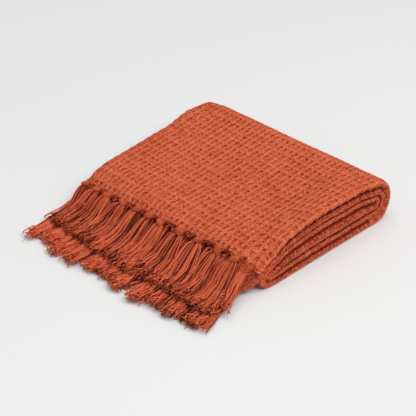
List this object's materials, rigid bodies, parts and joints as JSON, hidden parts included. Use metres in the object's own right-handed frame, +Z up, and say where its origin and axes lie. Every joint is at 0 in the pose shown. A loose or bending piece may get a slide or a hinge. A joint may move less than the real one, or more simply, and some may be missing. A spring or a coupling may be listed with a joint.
{
  "type": "folded throw blanket",
  "caption": "Waffle weave cotton throw folded into a low stack, closed folds on one side, knotted fringe laid out in front.",
  "frame": {"origin": "on the flat underside, below the middle of the folded stack without its fringe", "axes": "+Z up, +X towards the closed folds, -Y towards the fringe"},
  "size_m": [0.3316, 0.381, 0.0673],
  "materials": {
    "waffle_cotton": "matt terracotta waffle weave",
    "cotton_yarn_upper": "matt terracotta plied yarn",
    "cotton_yarn_lower": "matt terracotta plied yarn"
  },
  "bodies": {
    "root": {"blanket_cloth": "waffle_cotton", "fringe_upper": "cotton_yarn_upper", "fringe_lower": "cotton_yarn_lower"}
  },
  "joints": []
}
